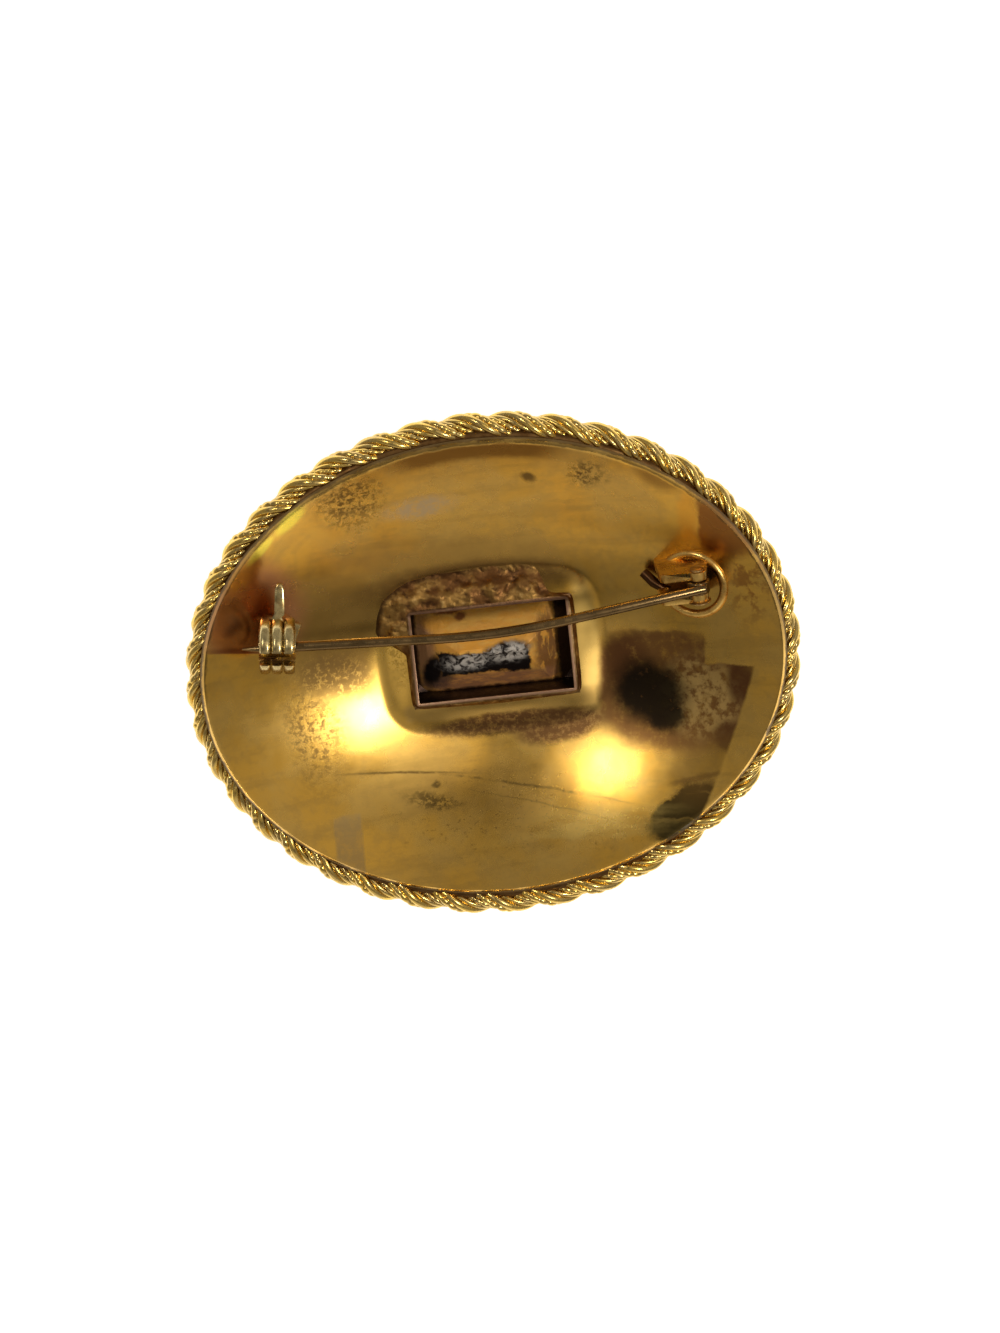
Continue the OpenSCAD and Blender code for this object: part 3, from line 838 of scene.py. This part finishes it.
dish_gold = polished_plate()
rope_gold = rope_gilding()
rope_dirt = simple_gold("rope_dirt", (0.16, 0.085, 0.03), 0.45)
collar_gold = collar_metal()
finding_gold = hinge_metal()
pin_brass = worn_brass("pin_brass", (0.27, 0.17, 0.072), 0.27)
rivet_brass = worn_brass("rivet_brass", (0.50, 0.31, 0.12), 0.36)
tail_brass = worn_brass("tail_brass", (0.13, 0.06, 0.025), 0.34)
catch_metal = simple_gold("catch_metal", (0.72, 0.57, 0.27), 0.24)
solder_metal = old_solder()
foil_paint = foil_finish()
amber_glass = stone_glass()


# The pressed plate with its raised seat


def smooth_top(a, b, k):
    """The higher of two heights, blended over k where they cross."""
    h = min(max(0.5 + 0.5 * (a - b) / k, 0), 1)
    return b + (a - b) * h + k * h * (1 - h)


def pressed(x, y):
    """Height of the plate's middle surface: the dish with the seat raised in it."""
    dx, dy = abs(x) - (SEAT_L / 2 - SEAT_R), abs(y) - (SEAT_W / 2 - SEAT_R)
    out = math.hypot(max(dx, 0), max(dy, 0)) + min(max(dx, dy), 0) - SEAT_R
    fall = 0.10 * max(out + SEAT_R, 0) ** 2
    return smooth_top(dish_mid(x, y), SEAT_Z - PLATE_T / 2 - fall, 1.0)


def box_reach(angle, half_l, half_w, round_off=0.25):
    """How far a rectangle with slightly rounded corners reaches at an angle."""
    c, s = abs(math.cos(angle)) / half_l, abs(math.sin(angle)) / half_w
    n = 2 / round_off
    return 1 / (c ** n + s ** n) ** (1 / n)


def plate_form(turn, step):
    """The plate's middle surface, from the window out to the lip."""
    angle = 2 * math.pi * turn
    lip = Vector((EDGE_R * math.cos(angle), EDGE_R * NARROWING * math.sin(angle)))
    way = math.atan2(lip.y, lip.x)
    border = COLLAR_T + 0.05
    hole = box_reach(way, WINDOW_L / 2 + border, WINDOW_W / 2 + border)
    window = Vector((math.cos(way), math.sin(way))) * hole
    spot = window.lerp(lip, step ** 1.5)
    return spot.x, spot.y, pressed(spot.x, spot.y)


plate = wrapped("pressed_plate", 224, 84, plate_form)
thicken(plate, PLATE_T)
soften(plate, 0.33, 4, 60)
dressed(plate, dish_gold, angle=50, stands_for=["dome"])


# The rope border: a core, round it two strands of plain and beaded wires, and old dirt in the seam
# between the rope and the plate's edge


def rope_middle(turn):
    """A place on the rope's centre line."""
    t = 2 * math.pi * turn
    height = ROPE_END_Z * math.cos(t) ** 2 + ROPE_SIDE_Z * math.sin(t) ** 2
    return Vector((ROPE_A * math.cos(t), ROPE_B * math.sin(t), height))


def outwards(turn):
    """The level way out of the rope's oval."""
    t = 2 * math.pi * turn
    return Vector((ROPE_B * math.cos(t), ROPE_A * math.sin(t), 0)).normalized()


def rope_point(turn, reach, angle):
    """A place that winds round the centre line at that reach."""
    a = math.radians(angle) - ROPE_TURNS * 2 * math.pi * turn
    return rope_middle(turn) + reach * (outwards(turn) * math.cos(a) + Vector((0, 0, 1)) * math.sin(a))


def rope_wire(name, reach, angle, radius, points, sides, beaded=False):
    """One wire of the rope, with so many points in each turn of the twist."""
    count = ROPE_TURNS * points
    radii = [radius] * count
    if beaded:
        half_waves = math.pi * ROPE_TURNS * BEADS / count
        radii = [radius * (BEAD_WAIST + (1 - BEAD_WAIST) * math.sqrt(abs(math.sin(half_waves * i))))
                 for i in range(count)]
    line = [rope_point(i / count, reach, angle) for i in range(count)]
    return drawn_wire(name, line, radii, sides, closed=True)


def gilded_wires(name, wires):
    """Joins wires, with a note on each point how far it lies from the rope's middle, for the dirt there."""
    piece = joined(name, wires)
    note = piece.data.attributes.new("reach", "FLOAT", "POINT")
    for point, entry in zip(piece.data.vertices, note.data):
        place = point.co / MM
        middle = rope_middle(math.atan2(place.y / ROPE_B, place.x / ROPE_A) / (2 * math.pi))
        entry.value = (place - middle).length
    dressed(piece, rope_gold, angle=80, stands_for=["rope_border"])


def seam_point(turn):
    """A place in the angle between the rope and the plate's edge, a little uneven."""
    up = SEAM_UP - 0.04 * abs(math.sin(2 * math.pi * turn)) + 0.05 * smooth_noise(200 * turn, 0, 3)
    return rope_middle(turn) - SEAM_INWARDS * outwards(turn) + Vector((0, 0, up))


rope_core = rope_wire("rope_core", 0, 0, CORE_R, 8, 10)
dressed(rope_core, rope_dirt, angle=80, stands_for=["rope_border"])
seam = drawn_wire("rope_seam", [seam_point(i / SEAM_KNOTS) for i in range(SEAM_KNOTS)],
                  [SEAM_R + 0.04 * smooth_noise(i * 0.7, 5, 1) for i in range(SEAM_KNOTS)], 10, closed=True)
dressed(seam, rope_dirt, angle=80)
for strand, side in ((1, 0), (2, 180)):
    gilded_wires(f"rope_plain_wires_{strand}", [
        rope_wire("plain_wire", 0.87, side + 22, 0.38, 28, 12),
        rope_wire("plain_wire", 0.60, side + 66, 0.28, 24, 10),
    ])
    gilded_wires(f"rope_beaded_wires_{strand}", [
        rope_wire("beaded_wire", 0.91, side - 20, 0.34, 90, 10, beaded=True),
        rope_wire("beaded_wire", 0.62, side - 62, 0.28, 84, 8, beaded=True),
    ])


# The setting: a box with cut corners, a bezel round the stone and a thin collar round the window


def cut_block(name, length, width, corner, low, high):
    """A block whose four upright corners are cut at 45 degrees."""
    piece = block(name, (length, width, high - low), (0, 0, (low + high) / 2))
    take(piece, edges=lambda a, b: abs(a.z - b.z) > 0.9 * (high - low))
    bpy.ops.mesh.bevel(offset=corner * MM, offset_type="OFFSET", segments=1)
    shut()
    return piece


box = cut_block("setting_box", BOX_L, BOX_W, BOX_CUT, BOX_LOW_Z, BOX_TOP_Z)
collar = block("collar", (WINDOW_L + 2 * COLLAR_T, WINDOW_W + 2 * COLLAR_T, WINDOW_Z - COLLAR_LOW_Z),
               (0, 0, (WINDOW_Z + COLLAR_LOW_Z) / 2))
boolean(box, collar, "UNION")
room = cut_block("stone_room", ROOM_L, ROOM_W, ROOM_CUT, ROOM_LOW_Z, ROOM_TOP_Z)
for up, start, (height, length, width) in ((1, ROOM_TOP_Z, ROOM_ROOF), (-1, ROOM_LOW_Z, ROOM_MOUTH)):
    take(room, faces=lambda c, n: n.z * up > 0.9)
    pull((0, 0, height - start))
    grow((length / ROOM_L, width / ROOM_W, 1), (0, 0, height))
    shut()
boolean(box, room, "DIFFERENCE")
well = block("window_well", (WINDOW_L, WINDOW_W, WELL_TOP_Z - WELL_LOW_Z),
             (0, 0, (WELL_TOP_Z + WELL_LOW_Z) / 2))
boolean(box, well, "DIFFERENCE")
soften(box, 0.09, 2, 30)
dressed(box, collar_gold, stands_for=["setting"])


def solder_form(turn, step):
    """Old solder round the collar: a thin lumpy skin, wide along the top and the upper left."""
    angle = 2 * math.pi * turn
    c, s = math.cos(angle), math.sin(angle)
    inner = box_reach(angle, WINDOW_L / 2 + COLLAR_T - 0.1, WINDOW_W / 2 + COLLAR_T - 0.1, 0.1)
    outer = box_reach(angle, SOLDER_L / 2, SOLDER_W / 2, 0.5)
    wide = rise(360 * turn, 36, 64) * rise(360 * turn, 178, 164)
    width = SOLDER_LEAST + (outer - inner - SOLDER_LEAST) * wide
    width *= 1 + 0.14 * smooth_noise(2.6 * c, 2.6 * s, 0.4) + 0.05 * smooth_noise(7 * c, 7 * s, 2.0)
    reach = inner + width * step
    x, y = reach * c, reach * s
    lump = 0.7 * smooth_noise(x * 0.6, y * 0.6, 5) + 0.25 * smooth_noise(x * 1.5, y * 1.5, 9)
    arch = math.sin(math.pi * min(step + 0.1, 1))
    bank = 0.22 * (1 - step) ** 2 + (0.16 + 0.4 * lump) * (0.3 + wide) * arch
    edge = 0.03 - 0.12 * step ** 4
    return x, y, pressed(x, y) + PLATE_T / 2 + max(bank, 0) + edge


solder = wrapped("solder_seam", 300, 20, solder_form)
thicken(solder, 0.1)
dressed(solder, solder_metal)

# The foil: a thin painted skin behind the stone, taken from the stone's own facets
stone = bpy.data.objects["stone"]
stone.data.materials.clear()
stone.data.materials.append(amber_glass)
foil = bpy.data.objects.new("stone_foil", stone.data.copy())
bpy.context.collection.objects.link(foil)
clean(foil)
take(foil, faces=lambda c, n: c.z < GIRDLE_Z + 0.02 or n.z < 0)
bpy.ops.mesh.delete(type="FACE")
bpy.ops.mesh.select_all(action="SELECT")
bpy.ops.transform.shrink_fatten(value=0.03 * MM)
shut()
thicken(foil, 0.02)
dressed(foil, foil_paint, angle=8)


# The hinge: a round foot with a rolled rim, two ears, the rivet, and the tail of the pin's spring


def rod(name, radius, low, high, sides=48):
    """A round bar along Y."""
    none_selected()
    bpy.ops.mesh.primitive_cylinder_add(
        vertices=sides, radius=radius * MM, depth=(high - low) * MM,
        location=(0, (low + high) / 2 * MM, 0), rotation=(math.pi / 2, 0, 0))
    return settle(named(name))


none_selected()
bpy.ops.mesh.primitive_cylinder_add(
    vertices=72, radius=FOOT_R * MM, depth=FOOT_DEEP * MM,
    location=(0, 0, (FOOT_T - ROLL_R - FOOT_DEEP / 2) * MM))
foot = settle(named("hinge_foot"))
take(foot, faces=lambda c, n: n.z > 0.9)
for step in range(ROLL_STEPS):
    now, then = math.pi * step / ROLL_STEPS, math.pi * (step + 1) / ROLL_STEPS
    bpy.ops.mesh.inset(thickness=ROLL_R * (math.cos(now) - math.cos(then)) * MM,
                       depth=ROLL_R * (math.sin(then) - math.sin(now)) * MM)
for dip in (0.06, 0.03):
    bpy.ops.mesh.inset(thickness=0.5 * MM, depth=-dip * MM)
shut()
settle(foot, Matrix.Translation(FOOT_AT * MM) @ dish_tilt(FOOT_AT.x, FOOT_AT.y))
dressed(foot, finding_gold, stands_for=["hinge"])

ears = []
for side in (-1, 1):
    ear = block("ear", (EAR_REACH + LUG_R, EAR_T, EAR_TOP + EAR_DEEP),
                ((LUG_R - EAR_REACH) / 2, side * EAR_AT, (EAR_TOP - EAR_DEEP) / 2))
    take(ear, edges=lambda a, b: min(a.z, b.z) > EAR_TOP - 0.1 and max(a.x, b.x) < 0)
    bpy.ops.mesh.bevel(offset=EAR_ROUND * MM, offset_type="OFFSET", segments=6)
    shut()
    take(ear, faces=lambda c, n: n.z < -0.9)
    grow((1.15, 1, 1), ((LUG_R - EAR_REACH) / 2, side * EAR_AT, -EAR_DEEP))
    shut()
    boolean(ear, rod("lug", LUG_R, side * EAR_AT - EAR_T / 2, side * EAR_AT + EAR_T / 2), "UNION")
    soften(ear, 0.14, 3, 40)
    settle(ear, AT_PIVOT)
    stand_on_dish(ear, WIRE_AT.z - 2.9)
    ears.append(ear)
dressed(joined("hinge_ears", ears), finding_gold, stands_for=["hinge"])

shank = EAR_AT + EAR_T / 2 + 0.04
rivet = rod("rivet", RIVET_R, -shank, shank, 40)
for side in (-1, 1):
    take(rivet, faces=lambda c, n: n.y * side > 0.9)
    # The head starts as wider faces on the shank's end
    pull((0, 0, 0))
    grow((RIVET_HEAD_R / RIVET_R, 1, RIVET_HEAD_R / RIVET_R), (0, side * shank, 0))
    for height, share in RIVET_CROWN:
        pull((0, side * height, 0))
        grow((share, 1, share), (0, side * shank, 0))
    shut()
clean(rivet, 0.0001)
soften(rivet, 0.03, 2, 35)
settle(rivet, AT_PIVOT)
dressed(rivet, rivet_brass, stands_for=["hinge_rivet"])

tail = drawn_wire("spring_tail", TAIL, TAIL_RADII, 16)
soften(tail, 0.12, 3, 60)
dressed(tail, tail_brass, angle=60)

# The pin: a root disc under the wire, a straight run, a long bend, and a straight run to its point,
# whose taper is given by how much of its length is left and the share of the radius there
spine, radii = [], []
for back, share in ((0, 0.62), (0.06, 0.85), (0.2, 1.0)):
    spine.append(Vector((ROOT_END - back, 0, 0)))
    radii.append(PIN_R * share)
for step in range(BEND_STEPS + 1):
    bent = BEND_ANGLE * step / BEND_STEPS
    spine.append(Vector((-ROOT_RUN - BEND_R * math.sin(bent), BEND_R * (1 - math.cos(bent)), 0)))
    radii.append(PIN_R)
bend_end = spine[-1]
for left, share in ((1, 1.0), (0.55, 0.72), (0.2, 0.38), (0, 0.14)):
    run = FREE_RUN - left * POINT_L
    spine.append(bend_end + run * Vector((-math.cos(BEND_ANGLE), math.sin(BEND_ANGLE), 0)))
    radii.append(PIN_R * share)
pin = drawn_wire("pin_wire", spine, radii, 20)
settle(pin, Matrix.Translation(WIRE_AT * MM) @ Matrix.Rotation(ROOT_ANGLE, 4, "Z"))
disc = strip("root_disc", -ROOT_W / 2, ROOT_W / 2, ROOT_BORE_R, ROOT_DISC_R)
turned(disc, 48)
soften(disc, 0.12, 3, 40)
settle(disc, AT_PIVOT @ Matrix.Rotation(math.pi / 2, 4, "Z"))
boolean(pin, disc, "UNION")
dressed(pin, pin_brass, body="pin", stands_for=["pin_stem"])


# The safety catch: two fixed rings on legs, and between them the rolling ring with its lever


def cut_mouth(ring):
    """Cuts the slot by which the pin comes and goes."""
    slot = block("mouth", (2 * SLEEVE_L, MOUTH_W, 2 * RING_R), (0, 0, RING_R))
    settle(slot, Matrix.Translation(PIN_IN_CATCH * MM) @ Matrix.Rotation(RIVET_TILT, 4, "X"))
    boolean(ring, slot, "DIFFERENCE")


def round_profile(piece, edges):
    """Rounds the corners of a ring's flat profile."""
    take(piece, edges=edges)
    bpy.ops.mesh.bevel(offset=RING_ROUND * MM, segments=5, affect="VERTICES")
    shut()


def catch_ring(side):
    """A fixed open ring with its leg down to the plate."""
    ring = strip("catch_ring", -RING_T / 2, RING_T / 2, BORE_R, RING_R)
    round_profile(ring, lambda a, b: True)
    turned(ring, 60)
    take(ring, faces=lambda c, n: c.z < 0 and abs(c.y) < LEG_W / 2 and c.yz.length > RING_R - 0.3)
    pull((0, 0, -LEG_L))
    shut()
    cut_mouth(ring)
    soften(ring, 0.08, 2, 50)
    settle(ring, AT_CATCH @ Matrix.Translation((side * RING_STEP * MM, 0, 0)))
    stand_on_dish(ring, CATCH.z - 4.2)
    return ring


pad = block("catch_pad", PAD, (0, 0, 0))
soften(pad, 0.14, 3, 40)
settle(pad, Matrix.Translation(Vector((CATCH.x, CATCH.y, dish_top(CATCH.x, CATCH.y))) * MM)
       @ dish_tilt(CATCH.x, CATCH.y) @ Matrix.Rotation(-CATCH_TURN, 4, "Z"))
rings = joined("catch_rings", [catch_ring(-1), catch_ring(1), pad])
dressed(rings, catch_metal, stands_for=["catch"])

# The rolling ring's profile is the sleeve's, with the ring raised on its middle
roller = strip("catch_roller", -SLEEVE_L / 2, SLEEVE_L / 2, SLEEVE_BORE_R, SLEEVE_R)
for cut in (-RING_T / 2, RING_T / 2):
    take_all(roller)
    bpy.ops.mesh.bisect(plane_co=(cut * MM, 0, 0), plane_no=(1, 0, 0))
    shut()
take(roller, edges=lambda a, b: min(a.y, b.y) > SLEEVE_R - 0.01 and abs(a.x + b.x) < 0.1)
bpy.ops.mesh.extrude_edges_move(TRANSFORM_OT_translate={"value": (0, (RING_R - SLEEVE_R) * MM, 0)})
shut()
round_profile(roller, lambda a, b: min(a.y, b.y) > RING_R - 0.01)
settle(roller, Matrix.Rotation(math.radians(3), 4, "X"))
turned(roller, 60)
take(roller, faces=lambda c, n: c.y > 2.4 and abs(c.z) < 0.42 and abs(c.x) < 0.48 and n.y > 0.7)
# The lever, drawn out of the ring's crown: how far aside and out, and the share of its width and thickness
for aside, out, wide, thick in ((0, 0.3, 1, 1), (LEVER_ASIDE, 0.25, 1, 1),
                                (0, LEVER_L - 0.95, 0.94, 0.9), (0, 0.4, 0.7, 0.7)):
    pull((aside, out, 0))
    grow((wide, 1, thick), (LEVER_ASIDE, 0, 0))
shut()
cut_mouth(roller)
soften(roller, 0.12, 3, 40)
settle(roller, AT_CATCH)
dressed(roller, catch_metal, body="catch_roll_ring", stands_for=["catch_rotor"])


# Floor, sky, lamps and camera

none_selected()
bpy.ops.mesh.primitive_plane_add(size=4)
floor = named("floor")
paper = Finish("white_paper", Roughness=0.9, Emission_Color=(1, 1, 1, 1), Emission_Strength=0.8)
paper.set(Base_Color=paper.mix(paper.noise(0.004, 2.0), (0.93, 0.93, 0.93), (0.96, 0.96, 0.95)))
floor.data.materials.append(paper.material)
floor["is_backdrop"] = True

# The sky's light is SKY_LEAST all over, and more in parts: low down, on the near side where a window
# stands, and in some smaller places. Each part has the way it lies, the cosines of the angle from it
# at which its light sets in and is full, and that light.
SKY_LEAST = 0.07
SKY_PARTS = (
    ((0, 0, -1), -0.90, -0.50, 0.17),
    ((0, -1, 0), 0.62, 0.85, 0.42),
    ((0, -0.26, 0.966), 0.955, 0.992, 0.26),
    ((0.62, 0.50, 0.60), 0.80, 0.98, 0.16),
    ((0.20, 0.33, 0.922), 0.982, 0.997, 1.15),
    ((-0.386, 0.283, 0.878), 0.990, 0.998, 0.7),
    ((0.405, -0.190, 0.895), 0.988, 0.998, 0.4),
    ((0.25, 0.80, 0.55), 0.70, 1.0, 0.035),
    ((-0.43, -0.22, 0.875), 0.982, 0.998, 0.6),
    ((0.485, -0.872, 0.047), 0.988, 0.999, 1.9),
)
world = bpy.data.worlds.new("studio")
bpy.context.scene.world = world
world.use_nodes = True
sky = Nodes(world.node_tree)
looking = sky.tree.nodes.new("ShaderNodeTexCoord").outputs["Generated"]
sky_light = SKY_LEAST
for way, low, high, light in SKY_PARTS:
    along = sky.vector("DOT_PRODUCT", looking, way, out=1)
    sky_light = sky.math("ADD", sky_light, sky.between(along, low, high, 0.0, light))
backdrop = sky.tree.nodes["Background"]
backdrop.inputs["Color"].default_value = (1.0, 0.93, 0.82, 1)
sky.tree.links.new(sky_light, backdrop.inputs["Strength"])


def lamp(name, at, width, height, power):
    """A soft oval lamp at a place in metres that looks at the brooch."""
    none_selected()
    bpy.ops.object.light_add(type="AREA", location=at)
    light = named(name)
    light.rotation_mode = "QUATERNION"
    away = Vector(at).normalized()
    side = Vector((0, 1, 0)).cross(away).normalized()
    light.rotation_quaternion = Matrix((side, away.cross(side), away)).transposed().to_quaternion()
    light.data.shape = "ELLIPSE"
    light.data.size = width
    light.data.size_y = height
    light.data.energy = power
    light.data.color = (1.0, 0.96, 0.88)


lamp("lamp_right", (0.2170, 0.0150, 0.4500), 0.036, 0.08, 0.68)
lamp("lamp_left", (-0.1730, 0.2200, 0.4110), 0.014, 0.12, 0.31)

# The camera stands over the brooch, TILT off the upright towards the way LEAN, and turned by ROLL.
# A pixel of the photo covers SCALE millimetres where the camera aims.
TILT = math.radians(14.7)
LEAN = math.radians(89.5)
ROLL = math.radians(6.16)
DISTANCE = 0.60
AIM = Vector((0.562, 0.06, 12.5)) * MM
SCALE = 0.0903
PHOTO_H = 1333
SENSOR = 36
back = Vector((math.sin(TILT) * math.cos(LEAN), math.sin(TILT) * math.sin(LEAN), math.cos(TILT)))
right = Vector((math.cos(ROLL), -math.sin(ROLL), 0))
right = (right - back * right.dot(back)).normalized()
bpy.ops.object.camera_add()
camera = named("camera")
camera.rotation_mode = "QUATERNION"
camera.rotation_quaternion = Matrix((right, back.cross(right), back)).transposed().to_quaternion()
camera.location = AIM + back * DISTANCE
camera.data.sensor_width = SENSOR
camera.data.lens = SENSOR * DISTANCE / (SCALE * MM * PHOTO_H)
camera.data.clip_start = 0.01
camera.data.clip_end = 20
bpy.context.scene.camera = camera
bpy.context.scene.view_settings.view_transform = "Standard"

low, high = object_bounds()
